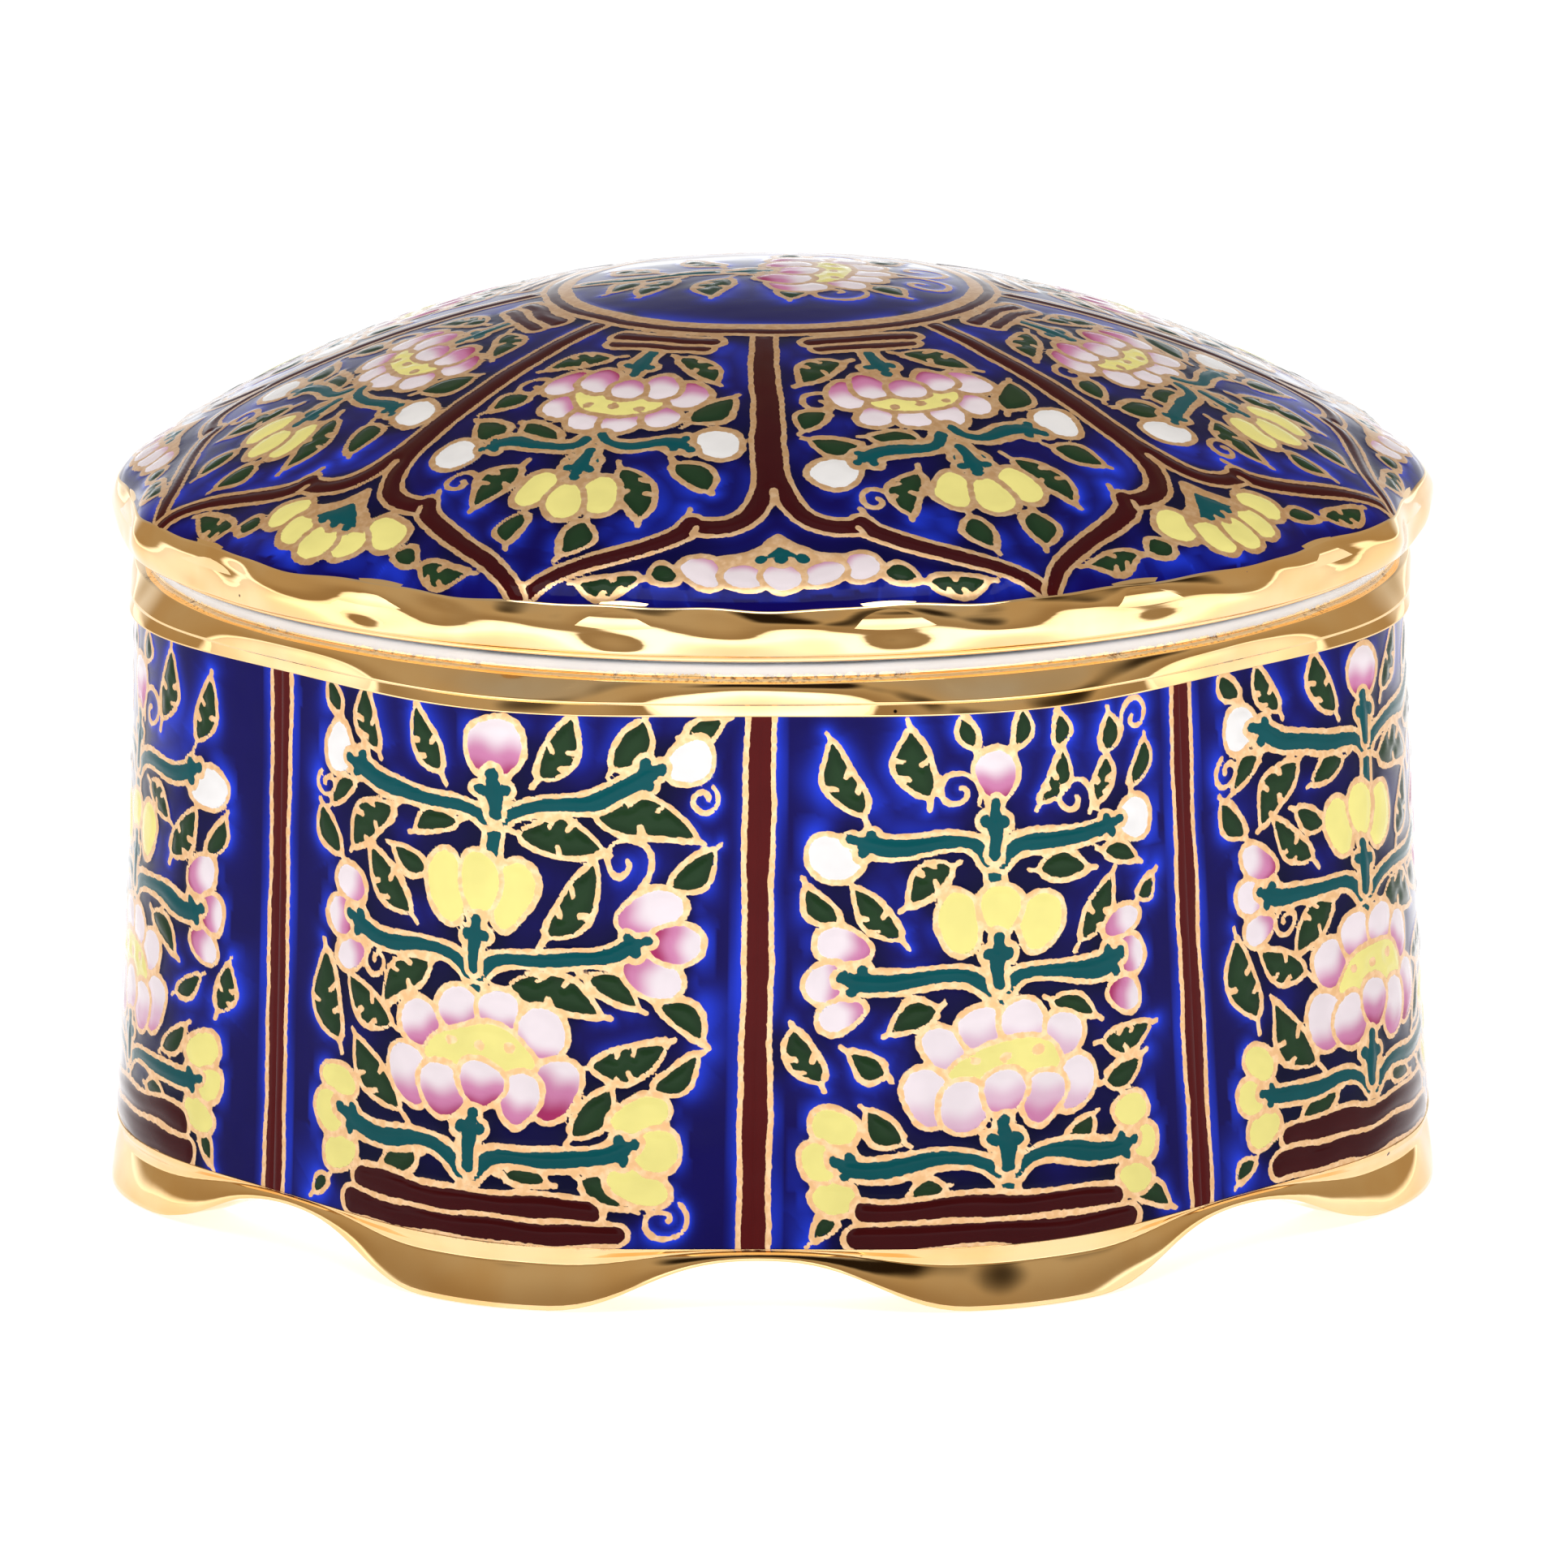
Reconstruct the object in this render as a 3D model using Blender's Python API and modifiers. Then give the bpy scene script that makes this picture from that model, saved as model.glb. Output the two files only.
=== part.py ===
"""A porcelain lidded box in its two pieces: a box on eight scalloped feet, and a low domed lid that lifts off.

Each piece is turned from a profile, and then drawn into lobes, arches and scallops. The origin is at the
middle of the plane that the feet stand on, and +Z is up. All sizes are in metres.
"""

import math

import bpy

LOBES = 8
SCALLOPS_PER_LOBE = 2
SEGMENTS = 96

# The box's wall, from the feet up to its plain neck.
BOX_HEIGHT = 0.0559
WALL_RADIUS = 0.0577
WALL = 0.0036
FLARE = 0.0025
LOBE_DEPTH = 0.0022
FLOOR = 0.0035
FLOOR_CORNER = 0.0060
NECK_SETBACK = 0.0013
NECK_HEIGHT = 0.0012
NECK_WALL = 0.0028
MOUTH_DEPTH = 0.0075
BAND_HEIGHT = 0.0032
BAND_PROUD = 0.0005
EDGE = 0.0004

# The feet, and the ring that they hang from.
FOOT_HEIGHT = 0.0056
ARCH_HEIGHT = 0.0046
FOOT_PROUD = 0.0007
FOOT_ROLL = 0.0030
FOOT_WIDTH = 0.0068
FOOT_FLAT_SHARE = 0.25
RECESS_MARGIN = 0.0006

# The lid, from its plain lip up over its scalloped rim to its top.
LID_GAP = 0.0003
LID_WALL = 0.0034
LIP_HEIGHT = 0.0022
LIP_PROUD = 0.0014
RIM_HEIGHT = 0.0034
RIM_PROUD = 0.0008
DOME_RADIUS = 0.0587
DOME_RISE = 0.0177
SCALLOP_DEPTH = 0.0010
SCALLOP_REACH = 0.0130

# The flange under the lid, which keeps it centred in the box's mouth.
FLANGE_CLEARANCE = 0.0008
FLANGE_WALL = 0.0024
FLANGE_DEPTH = 0.0042

MERGE = 1e-5

neck_radius = WALL_RADIUS - NECK_SETBACK
mouth_radius = neck_radius - NECK_WALL
band_top = BOX_HEIGHT - NECK_HEIGHT
band_bottom = band_top - BAND_HEIGHT
recess_height = FOOT_HEIGHT + RECESS_MARGIN
floor_top = recess_height + FLOOR
foot_radius = WALL_RADIUS + FLARE + FOOT_PROUD
lip_bottom = BOX_HEIGHT + LID_GAP
lip_top = lip_bottom + LIP_HEIGHT
rim_top = lip_top + RIM_HEIGHT
lid_top = rim_top + DOME_RISE
dome_sphere = (DOME_RADIUS**2 + DOME_RISE**2) / (2 * DOME_RISE)
dome_centre = lid_top - dome_sphere
hollow_sphere = dome_sphere - LID_WALL
flange_radius = mouth_radius - FLANGE_CLEARANCE
flange_inside = flange_radius - FLANGE_WALL


def smooth(low, high, value):
    """0 below low, 1 above high, and an even S-curve between."""
    share = min(max((value - low) / (high - low), 0.0), 1.0)
    return share * share * (3 - 2 * share)


def towards(start, end):
    """The unit vector from start to end, and its length."""
    step = (end[0] - start[0], end[1] - start[1])
    length = math.hypot(*step)
    return (step[0] / length, step[1] / length), length


def rounded(corners):
    """A profile through (radius, height) corners. One with (fillet, steps) after it is rounded off by that much."""
    profile = [corners[0]]
    for before, corner, after in zip(corners, corners[1:], corners[2:]):
        if len(corner) == 2:
            profile.append(corner)
            continue
        x, z, fillet, steps = corner
        into, reach_in = towards((x, z), before)
        out, reach_out = towards((x, z), after)
        half = math.acos(max(-1.0, min(1.0, into[0] * out[0] + into[1] * out[1]))) / 2
        setback = min(fillet / math.tan(half), 0.49 * reach_in, 0.49 * reach_out)
        for step in range(steps + 1):
            # A quadratic curve on the corner's two sides, within a hair of the arc.
            start, end = (1 - step / steps) ** 2, (step / steps) ** 2
            profile.append(
                (
                    x + setback * (start * into[0] + end * out[0]),
                    z + setback * (start * into[1] + end * out[1]),
                )
            )
    return profile + [corners[-1]]


def turned(name, profile, collection):
    """The solid that a profile makes when it turns round the Z axis, as a mesh object."""
    mesh = bpy.data.meshes.new(name + "_profile")
    edges = [(i, i + 1) for i in range(len(profile) - 1)]
    mesh.from_pydata([(radius, 0.0, height) for radius, height in profile], edges, [])
    outline = bpy.data.objects.new(name + "_profile", mesh)
    collection.objects.link(outline)
    screw = outline.modifiers.new("turn", "SCREW")
    screw.angle = math.tau
    screw.steps = SEGMENTS
    screw.render_steps = SEGMENTS
    screw.use_merge_vertices = True
    screw.merge_threshold = MERGE
    bpy.context.view_layer.update()
    graph = bpy.context.evaluated_depsgraph_get()
    solid = bpy.data.meshes.new_from_object(outline.evaluated_get(graph))
    solid.name = name
    bpy.data.objects.remove(outline)
    piece = bpy.data.objects.new(name, solid)
    collection.objects.link(piece)
    return piece


def reshape(piece, rule):
    """Moves each point of a turned piece to the radius and height that the rule gives for its own and its angle."""
    for vertex in piece.data.vertices:
        x, y, z = vertex.co
        radius = math.hypot(x, y)
        if radius > MERGE:
            angle = math.atan2(y, x)
            radius, height = rule(radius, z, angle)
            vertex.co = (radius * math.cos(angle), radius * math.sin(angle), height)


def lobe_share(angle):
    """1 at the middle of each of the box's lobes and 0 in the valleys, one of which faces -Y."""
    return 0.5 - 0.5 * math.cos(LOBES * (angle + math.pi / 2))


def scallop_share(angle):
    """1 at the middle of each of the lid's scallops, one of which faces -Y, and 0 between two."""
    return 0.5 + 0.5 * math.cos(LOBES * SCALLOPS_PER_LOBE * (angle + math.pi / 2))


def box_profile():
    """The box's section: its floor, up inside to the mouth, over the neck, down the wall, in under a foot."""
    inside_top = WALL_RADIUS - WALL
    inside_bottom = inside_top + FLARE * (1 - floor_top / band_bottom)
    moulding = band_bottom + BAND_HEIGHT * 0.3
    wall = [
        (WALL_RADIUS + FLARE * (1 - share) ** 1.2, FOOT_HEIGHT + (band_bottom - FOOT_HEIGHT) * share)
        for share in (0.99, 0.5, 0.0)
    ]
    corners = [
        (0.0, floor_top),
        (inside_bottom, floor_top, FLOOR_CORNER, 2),
        (inside_top, BOX_HEIGHT - MOUTH_DEPTH),
        (mouth_radius, band_bottom),
        (mouth_radius, BOX_HEIGHT, EDGE, 1),
        (neck_radius, BOX_HEIGHT, EDGE, 1),
        (neck_radius, band_top),
        (WALL_RADIUS - BAND_PROUD / 2, band_top - EDGE, EDGE, 1),
        (WALL_RADIUS + BAND_PROUD, moulding + EDGE, EDGE, 1),
        (WALL_RADIUS, moulding),
        (WALL_RADIUS + BAND_PROUD, band_bottom + EDGE, EDGE, 1),
    ]
    foot = [
        (foot_radius - FOOT_PROUD, FOOT_HEIGHT * 0.76),
        (foot_radius, FOOT_ROLL, FOOT_ROLL, 2),
        (foot_radius - FOOT_ROLL * 0.6, 0.0, FOOT_ROLL * 0.6, 1),
        (foot_radius - FOOT_WIDTH, 0.0, EDGE, 1),
        (foot_radius - FOOT_WIDTH, recess_height),
        (0.0, recess_height),
    ]
    return rounded(corners + wall + foot)


def box_rule(radius, height, angle):
    """Lobes all the way up the wall, inside and out, feet that stand proud, and an arch between each two."""
    share = lobe_share(angle)
    inside = radius < neck_radius - MERGE and height > recess_height + MERGE
    top = (BOX_HEIGHT - 2 * MOUTH_DEPTH, band_bottom) if inside else (band_bottom, band_top)
    if radius > (foot_radius - FOOT_WIDTH) / 2:
        radius += LOBE_DEPTH * (1 - smooth(*top, height)) * (share - 0.5)
    if radius > mouth_radius:
        radius -= 2 * FOOT_PROUD * (1 - share) * max(0.0, 1 - height / FOOT_HEIGHT)
    lift = ARCH_HEIGHT * (1 - smooth(0.0, 1 - FOOT_FLAT_SHARE, share))
    return radius, height + lift * max(0.0, 1 - height / FOOT_HEIGHT)


def dome_point(sphere, radius):
    """The point of a dome at a radius, where its sphere is centred at dome_centre."""
    return radius, dome_centre + math.sqrt(sphere**2 - radius**2)


def lid_profile():
    """The lid's section: over the dome and its rim, in under the lip, round the flange and up the hollow."""
    rim_radius = DOME_RADIUS + RIM_PROUD
    lip_radius = neck_radius + LIP_PROUD
    dome = [dome_point(dome_sphere, DOME_RADIUS * math.sin(step * math.pi / 14)) for step in range(7)]
    hollow = [dome_point(hollow_sphere, flange_inside * share) for share in (0.97, 0.75, 0.4, 0.0)]
    corners = [
        (DOME_RADIUS, rim_top),
        (rim_radius, lip_top + RIM_HEIGHT * 0.3, RIM_HEIGHT * 0.5, 2),
        (lip_radius, lip_top),
        (lip_radius, lip_bottom + LIP_HEIGHT * 0.4, EDGE, 1),
        (neck_radius, lip_bottom, EDGE, 1),
        (flange_radius, lip_bottom),
        (flange_radius, lip_bottom - FLANGE_DEPTH, EDGE, 1),
        (flange_inside, lip_bottom - FLANGE_DEPTH),
        (flange_inside, lip_top),
    ]
    return rounded(dome + corners + hollow)


def lid_rule(radius, height, angle):
    """Scallops round the rim, which fade out up the dome and stop above the lip."""
    outside = dome_point((dome_sphere + hollow_sphere) / 2, min(radius, DOME_RADIUS))[1]
    if height < lip_top + MERGE or height < outside and radius < lip_top:
        return radius, height
    weight = smooth(DOME_RADIUS - SCALLOP_REACH, DOME_RADIUS, radius)
    return radius + SCALLOP_DEPTH * weight * (scallop_share(angle) - 0.5), height


def glaze(name, colour, roughness, metallic=0.0):
    material = bpy.data.materials.new(name)
    material.use_nodes = True
    shader = material.node_tree.nodes["Principled BSDF"]
    shader.inputs["Base Color"].default_value = (*colour, 1.0)
    shader.inputs["Roughness"].default_value = roughness
    shader.inputs["Metallic"].default_value = metallic
    return material


def dress(piece, materials, pick):
    """Gives each face the glaze that pick names for its radius, height and slope, and shades the piece smooth."""
    order = list(materials)
    for material in materials.values():
        piece.data.materials.append(material)
    for face in piece.data.polygons:
        x, y, z = face.center
        face.material_index = order.index(pick(math.hypot(x, y), z, face.normal.z))
    piece.data.shade_smooth()
    piece.data.set_sharp_from_angle(angle=math.radians(40))


def box_glaze(radius, height, slope):
    """White inside and on the neck, gilt on the band and the feet, and cobalt on the wall between."""
    if height > band_top - EDGE / 2 or radius < foot_radius - FOOT_WIDTH:
        return "white_porcelain"
    return "cobalt_glaze" if FOOT_HEIGHT < height < band_bottom else "gilding"


def lid_glaze(radius, height, slope):
    """Cobalt on the dome, gilt on the rim and lip, and white underneath."""
    if height > rim_top and slope > 0:
        return "cobalt_glaze"
    return "gilding" if radius > neck_radius else "white_porcelain"


def main():
    for leftover in list(bpy.data.objects):
        bpy.data.objects.remove(leftover)
    collection = bpy.data.collections.new("porcelain_lidded_box")
    bpy.context.scene.collection.children.link(collection)
    materials = {
        "white_porcelain": glaze("white_porcelain", (0.86, 0.87, 0.90), 0.15),
        "cobalt_glaze": glaze("cobalt_glaze", (0.012, 0.010, 0.16), 0.08),
        "gilding": glaze("gilding", (0.82, 0.56, 0.25), 0.22, 1.0),
    }
    for name, profile, rule, pick in (
        ("box", box_profile(), box_rule, box_glaze),
        ("lid", lid_profile(), lid_rule, lid_glaze),
    ):
        piece = turned(name, profile, collection)
        reshape(piece, rule)
        dress(piece, materials, pick)


main()
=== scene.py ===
"""The finished look of a porcelain lidded box: enamels between gold lines on cobalt, gilt edges, white glaze.

The painting is drawn in millimetres on the flattened wall and lid. Each shape is a distance to its edge, and
the results are kept on the points of fine meshes, so a gold line shows where its distance is below zero.
"""

import copy
from math import acos, asin, atan2, ceil, copysign, cos, degrees, hypot, pi, radians, sin, sqrt, tan, tau

import bpy
import numpy as np
from mathutils import Matrix, Vector


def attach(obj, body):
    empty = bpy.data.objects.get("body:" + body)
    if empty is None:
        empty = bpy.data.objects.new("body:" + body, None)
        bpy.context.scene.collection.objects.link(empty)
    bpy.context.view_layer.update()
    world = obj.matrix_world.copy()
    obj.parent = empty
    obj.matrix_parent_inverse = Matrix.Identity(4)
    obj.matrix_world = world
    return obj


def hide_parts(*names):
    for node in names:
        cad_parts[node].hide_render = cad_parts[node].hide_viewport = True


MM = 0.001

# The shape, with the names and sizes that the solids have, in millimetres.
LOBES = 8
SCALLOPS_PER_LOBE = 2
BOX_HEIGHT = 55.9
WALL_RADIUS = 57.7
WALL = 3.6
FLARE = 2.5
LOBE_DEPTH = 2.2
FLOOR = 3.5
NECK_SETBACK = 1.3
NECK_HEIGHT = 1.2
NECK_WALL = 2.8
MOUTH_DEPTH = 7.5
BAND_HEIGHT = 3.2
BAND_PROUD = 0.5
FOOT_HEIGHT = 5.6
ARCH_HEIGHT = 4.6
FOOT_PROUD = 0.7
FOOT_ROLL = 3.0
FOOT_WIDTH = 6.8
FOOT_FLAT_SHARE = 0.25
RECESS_MARGIN = 0.6
LID_GAP = 0.3
LID_WALL = 3.4
LIP_HEIGHT = 2.2
LIP_PROUD = 1.4
RIM_HEIGHT = 3.4
RIM_PROUD = 0.8
DOME_RADIUS = 58.7
DOME_RISE = 17.7
SCALLOP_DEPTH = 1.0
SCALLOP_REACH = 13.0
FLANGE_CLEARANCE = 0.8
FLANGE_WALL = 2.4
FLANGE_DEPTH = 4.2

neck_radius = WALL_RADIUS - NECK_SETBACK
mouth_radius = neck_radius - NECK_WALL
band_top = BOX_HEIGHT - NECK_HEIGHT
band_bottom = band_top - BAND_HEIGHT
recess_height = FOOT_HEIGHT + RECESS_MARGIN
floor_top = recess_height + FLOOR
foot_radius = WALL_RADIUS + FLARE + FOOT_PROUD
lip_bottom = BOX_HEIGHT + LID_GAP
lip_top = lip_bottom + LIP_HEIGHT
lip_radius = neck_radius + LIP_PROUD
rim_top = lip_top + RIM_HEIGHT
rim_radius = DOME_RADIUS + RIM_PROUD
lid_top = rim_top + DOME_RISE
dome_sphere = (DOME_RADIUS**2 + DOME_RISE**2) / (2 * DOME_RISE)
dome_centre = lid_top - dome_sphere
dome_arc = dome_sphere * asin(DOME_RADIUS / dome_sphere)
PAINT_EDGE = dome_arc + 0.1
hollow_sphere = dome_sphere - LID_WALL
flange_radius = mouth_radius - FLANGE_CLEARANCE
flange_inside = flange_radius - FLANGE_WALL

# Meshes.
CELL = 0.29
LID_CELLS = 400
BODY_SEGMENTS = 320
BODY_GAP = 3.0
UNDERLAY = 0.45
HEM = 0.35
LOW_HEM = 0.12
SKIN_DEPTH = 0.2
RIM_ROLL = 5.4
RIM_INSET = 0.38
BAND_ROLL = 5.4
FOOT_BULGE = 15.0
RIM_SWELL = 0.13
CURVE_STEPS = 12
FILLET_STEPS = 4

# The painting: gold lines, and the relief of gold and enamel over the ground.
WALL_LINE = 0.5
LID_LINE = 0.6
BAR = 2.45
FAR = 9.0
GOLD_LIFT = 0.05
ENAMEL_LIFT = 0.13
HAND_WOBBLE = 0.16
WALL_UNIT = 59.0
FIRST_BARS = ((-46.4, -46.9), (-0.5, 0.5), (39.9, 39.1))
LID_TURN = 0.25
LID_TWIST = 0.065
MEDALLION = 18.0
RING = 20.8
RING_BAND, RING_BAND_HALF = 19.6, 0.8
RING_LINE, RING_LINE_HALF = 18.4, 0.58
UP = pi / 2
STALK_SHARE = 0.14
LEAF_BEND = 0.1
# A ragged leaf's barbs: share of its length, and side. A side flower's petals: out, up, turn, length, width.
# Half a hood's outline: across and down. A lotus's front petals: share of its reach across, down, length.
BARBS = ((0.36, 1), (0.6, 1), (0.5, -1))
SIDE_PETALS = ((1.6, 3.1, 1.2, 5.6, 3.6), (1.6, -2.9, -1.2, 5.3, 3.5), (3.1, 0.1, 1.57, 4.5, 3.9))
HOOD = ((-5.2, 0.9), (-2.9, 1.5), (-1.2, 2.5), (0, 4.0))
FRONT_PETALS = ((-1, 3.4, 6.3), (1, 3.4, 6.3), (-0.53, 4.4, 5.6), (0.53, 4.4, 5.6), (0, 3.3, 4.9))

# Enamel colours, as linear values.
COBALT = (0.004, 0.0015, 0.098)
BRIGHT = (0.016, 0.06, 0.94)
# Near black for the ground in narrow gaps: painted shade.
GAP_SHADE = (0.001, 0.001, 0.026)
MAROON = (0.09, 0.005, 0.005)
DARK_MAROON = (0.05, 0.004, 0.005)
LEAF = (0.013, 0.036, 0.014)
TEAL = (0.003, 0.085, 0.1)
YELLOW = (0.9, 0.84, 0.29)
WHITE = (0.89, 0.9, 0.92)
ROSE = (0.38, 0.03, 0.13)
PINK = (0.62, 0.23, 0.44)
MAUVE = (0.74, 0.5, 0.66)
BLUSH = (0.88, 0.81, 0.88)

# A petal's colours at its foot, in its middle and at its tip.
ROSY = (ROSE, PINK, BLUSH)
ALL_YELLOW = (YELLOW,) * 3
ALL_WHITE = (WHITE,) * 3

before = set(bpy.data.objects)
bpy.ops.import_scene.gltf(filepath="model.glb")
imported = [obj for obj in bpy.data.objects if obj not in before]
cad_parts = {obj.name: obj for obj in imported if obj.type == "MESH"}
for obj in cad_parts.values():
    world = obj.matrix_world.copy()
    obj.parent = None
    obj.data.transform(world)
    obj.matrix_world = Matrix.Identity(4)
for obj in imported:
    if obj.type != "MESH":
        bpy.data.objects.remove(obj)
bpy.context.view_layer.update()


def smooth(low, high, value):
    """0 below low, 1 above high, and an even S-curve between."""
    share = np.clip((value - low) / (high - low), 0.0, 1.0)
    return share * share * (3 - 2 * share)


def blend(a, b, share):
    """Colours from a, where share is 0, to b, where it is 1."""
    share = np.asarray(share)[..., None]
    return np.asarray(a) * (1 - share) + np.asarray(b) * share


def lobe_share(azimuth):
    """1 in the middle of a lobe and 0 in the valley between two. Azimuth 0 faces -Y."""
    return 0.5 - 0.5 * np.cos(LOBES * azimuth)


def scallop_share(azimuth):
    """1 where the lid's rim swells out and 0 where it draws in."""
    return 0.5 + 0.5 * np.cos(LOBES * SCALLOPS_PER_LOBE * azimuth)


def placed(radius, height, azimuth):
    """Points in metres, from a radius and height in millimetres and an azimuth in radians."""
    return np.stack([radius * np.sin(azimuth), -radius * np.cos(azimuth), height + 0 * radius], -1) * MM


# Distances, in millimetres, from points to the shapes that the brush draws.


def local(x, y, at, angle):
    """The points seen from at: how far along the direction angle, and how far left of it."""
    dx, dy = x - at[0], y - at[1]
    return dx * cos(angle) + dy * sin(angle), dy * cos(angle) - dx * sin(angle)


def to_path(x, y, path):
    """Distance to a path, and the share of it that lies before the nearest place."""
    best, share = np.full(x.shape, 1e3), np.zeros(x.shape)
    for i, ((ax, ay), (bx, by)) in enumerate(zip(path, path[1:])):
        dx, dy = bx - ax, by - ay
        t = np.clip(((x - ax) * dx + (y - ay) * dy) / max(dx * dx + dy * dy, 1e-9), 0, 1)
        reach = np.hypot(x - ax - t * dx, y - ay - t * dy)
        closer = reach < best
        best[closer] = reach[closer]
        share[closer] = (i + t[closer]) / (len(path) - 1)
    return best, share


def to_egg(along, across, length, width):
    """Distance to an egg shape about the middle, a little wider towards its far end."""
    half = width / 2 * (1 + 0.22 * np.clip(along / length, -0.5, 0.5))
    ring = np.hypot(along * 2 / length, across / half)
    slope = np.hypot(along * 4 / length**2, across / half**2)
    return ring * (ring - 1) / np.maximum(slope, 1e-6)


def to_knob(x, y, at, angle, size=1.0):
    """Distance to the three-lobed knob that ends a stem."""
    along, across = local(x, y, at, angle)
    tip = np.hypot(along - 1.5 * size, across) - 0.82 * size
    arms = np.hypot(along - 0.1 * size, abs(across) - 0.95 * size) - 0.8 * size
    neck = np.hypot(along - 0.7 * size, across) - 0.85 * size
    return np.minimum(np.minimum(tip, arms), neck)


def bezier(*controls):
    """Points along the curve that its control points pull."""
    share = np.linspace(0, 1, CURVE_STEPS + 1)[:, None]
    layers = [np.array(c, float) + 0 * share for c in controls]
    while len(layers) > 1:
        layers = [a * (1 - share) + b * share for a, b in zip(layers, layers[1:])]
    return layers[0]


class Painting:
    """Enamel and gold on points that lie at x, y, in millimetres, on a flattened surface."""

    def __init__(self, x, y, line, plump, seed):
        self.random = np.random.default_rng(seed)
        self.line, self.plump = line, plump
        self.exact = x, y
        self.x, self.y = self.wobbled(x, y)
        self.gold = np.full(x.size, FAR)
        self.colour = np.zeros((x.size, 3))
        self.ground = np.ones(x.size, bool)

    def wobbled(self, x, y):
        """The places as an unsteady hand takes them, off by slow waves in several directions."""
        shift = np.zeros((2, x.size))
        for period in (4.5, 7.5, 12.0, 19.0):
            for i in (0, 1):
                turn, phase = self.random.uniform(0, tau, 2)
                wave = (x * cos(turn) + y * sin(turn)) * tau / period
                shift[i] += HAND_WOBBLE * (period / 12) ** 0.5 * np.sin(wave + phase)
        return x + shift[0], y + shift[1]

    def seen_from(self, x, y, angle=0.0, mirror=1):
        """The same painting, drawn on round x, y, turned by angle and mirrored where mirror is -1."""
        other = copy.copy(self)
        along, other.y = local(self.x, self.y, (x, y), angle)
        other.x = mirror * along
        return other

    def steady(self):
        """The same painting, drawn on with a wheel or a ruler instead of by hand."""
        other = copy.copy(self)
        other.x, other.y = (0.7 * e + 0.3 * w for e, w in zip(self.exact, (self.x, self.y)))
        return other

    def near(self, x, y, reach):
        """The points up to reach away from x, y along both axes, and their places."""
        points = np.flatnonzero((abs(self.x - x) < reach) & (abs(self.y - y) < reach))
        return points, self.x[points], self.y[points]

    def gild(self, points, distance):
        """Adds gold where distance is below 0."""
        self.gold[points] = np.minimum(self.gold[points], distance)

    def cover(self, points, distance, colour, line=None):
        """Covers all where distance is below 0 with colour, and its edge with a gold line."""
        edge = abs(distance) - (line or self.line) / 2
        inside = distance < 0
        self.gold[points] = np.where(inside, edge, np.minimum(self.gold[points], edge))
        colour = np.broadcast_to(colour, (len(points), 3))
        self.colour[points[inside]] = colour[inside]
        self.ground[points[inside]] = False

    def stroke(self, path, width=None):
        """A gold line along a path."""
        path = np.asarray(path, float)
        points, x, y = self.near(*path.mean(0), np.ptp(path, 0).max() + 1.5)
        self.gild(points, to_path(x, y, path)[0] - (width or self.line) / 2)

    def leaf(self, x0, y0, x1, y1, ragged=0):
        """A leaf on a gold stalk, to its tip. Gold barbs cut into a ragged one from its edges."""
        bend_way = -1 if x0 * (y1 - y0) > 0 else 1
        stalk, tip = np.array([x0, y0]), np.array([x1, y1])
        x0, y0 = stalk + (tip - stalk) * STALK_SHARE
        self.stroke([stalk, (x0, y0)])
        length, angle = hypot(x1 - x0, y1 - y0), atan2(y1 - y0, x1 - x0)
        half = (0.42 + 0.165 * length) * (1 if ragged else self.plump)
        bend = LEAF_BEND * length * bend_way
        points, x, y = self.near((x0 + x1) / 2, (y0 + y1) / 2, 0.5 * length + 3)
        along, across = local(x, y, (x0, y0), angle)
        share = np.clip(along / length, 0, 1)
        side = across - bend * np.sin(pi * share)

        def width(at):
            return half * np.sin(pi * np.clip(at, 0, 1) ** 0.85) ** 0.8

        slope = (width(share + 0.03) - width(share - 0.03)) / 0.06 / length
        edge = (abs(side) - width(share)) / np.hypot(1, slope)
        past = abs(along - share * length)
        distance = np.where(past > 1e-6, np.hypot(past, np.maximum(edge, 0)), edge)
        # The green is painted lighter in the leaf's middle and darker towards its edges: painted shade.
        edge_shade = 1 + 0.35 * smooth(-0.3, -1.2, distance)
        self.cover(points, distance, np.array(LEAF) * edge_shade[:, None])
        for at, way in BARBS if ragged else ():
            rim, depth, way = width(at), 0.45 * width(at) + 0.15, way * ragged
            path = [(at * length, way * rim), (at * length - 0.45, way * (rim - depth))]
            self.gild(points, to_path(along, side, path)[0] - 0.5 * self.line)
        self.stroke([tip, tip + 0.6 * (tip - (x0, y0)) / length])

    def petal(self, x, y, angle, length, width, colours=ROSY, depth=None):
        """A petal about its middle, shaded from its foot's colour to its tip's."""
        points, px, py = self.near(x, y, length / 2 + 1)
        along, across = local(px, py, (x, y), angle)
        depth = self.random.uniform(0.05, 0.5) if depth is None else depth
        share = 0.5 + along / length + 0.05 * np.cos(across * 2)
        inner = blend(colours[0], colours[1], smooth(depth - 0.3, depth, share))
        shade = blend(inner, colours[2], smooth(depth, depth + 0.38, share))
        self.cover(points, to_egg(along, across, length, width), shade)

    def stem(self, path, angle, size=1.0):
        """A teal stem along a path, ending in a knob that points along angle."""
        path = np.asarray(path, float)
        points, x, y = self.near(*path.mean(0), np.ptp(path, 0).max() / 2 + 4)
        distance, share = to_path(x, y, path)
        thickness = 0.78 + 0.22 * smooth(0.2, 0.9, share)
        self.cover(points, np.minimum(distance - thickness, to_knob(x, y, path[-1], angle, size)), TEAL)

    def branch(self, x0, y0, x1, y1):
        """A side branch that leaves the stem steeply, runs out level and lifts to its knob."""
        run = x1 - x0
        path = bezier((x0, y0), (x0 + 0.18 * run, y0 + 3.4), (x0 + 0.62 * run, y0 + 0.2), (x1, y1))
        self.stem(path, atan2(0.35, copysign(1, run)), 0.9)

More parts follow.
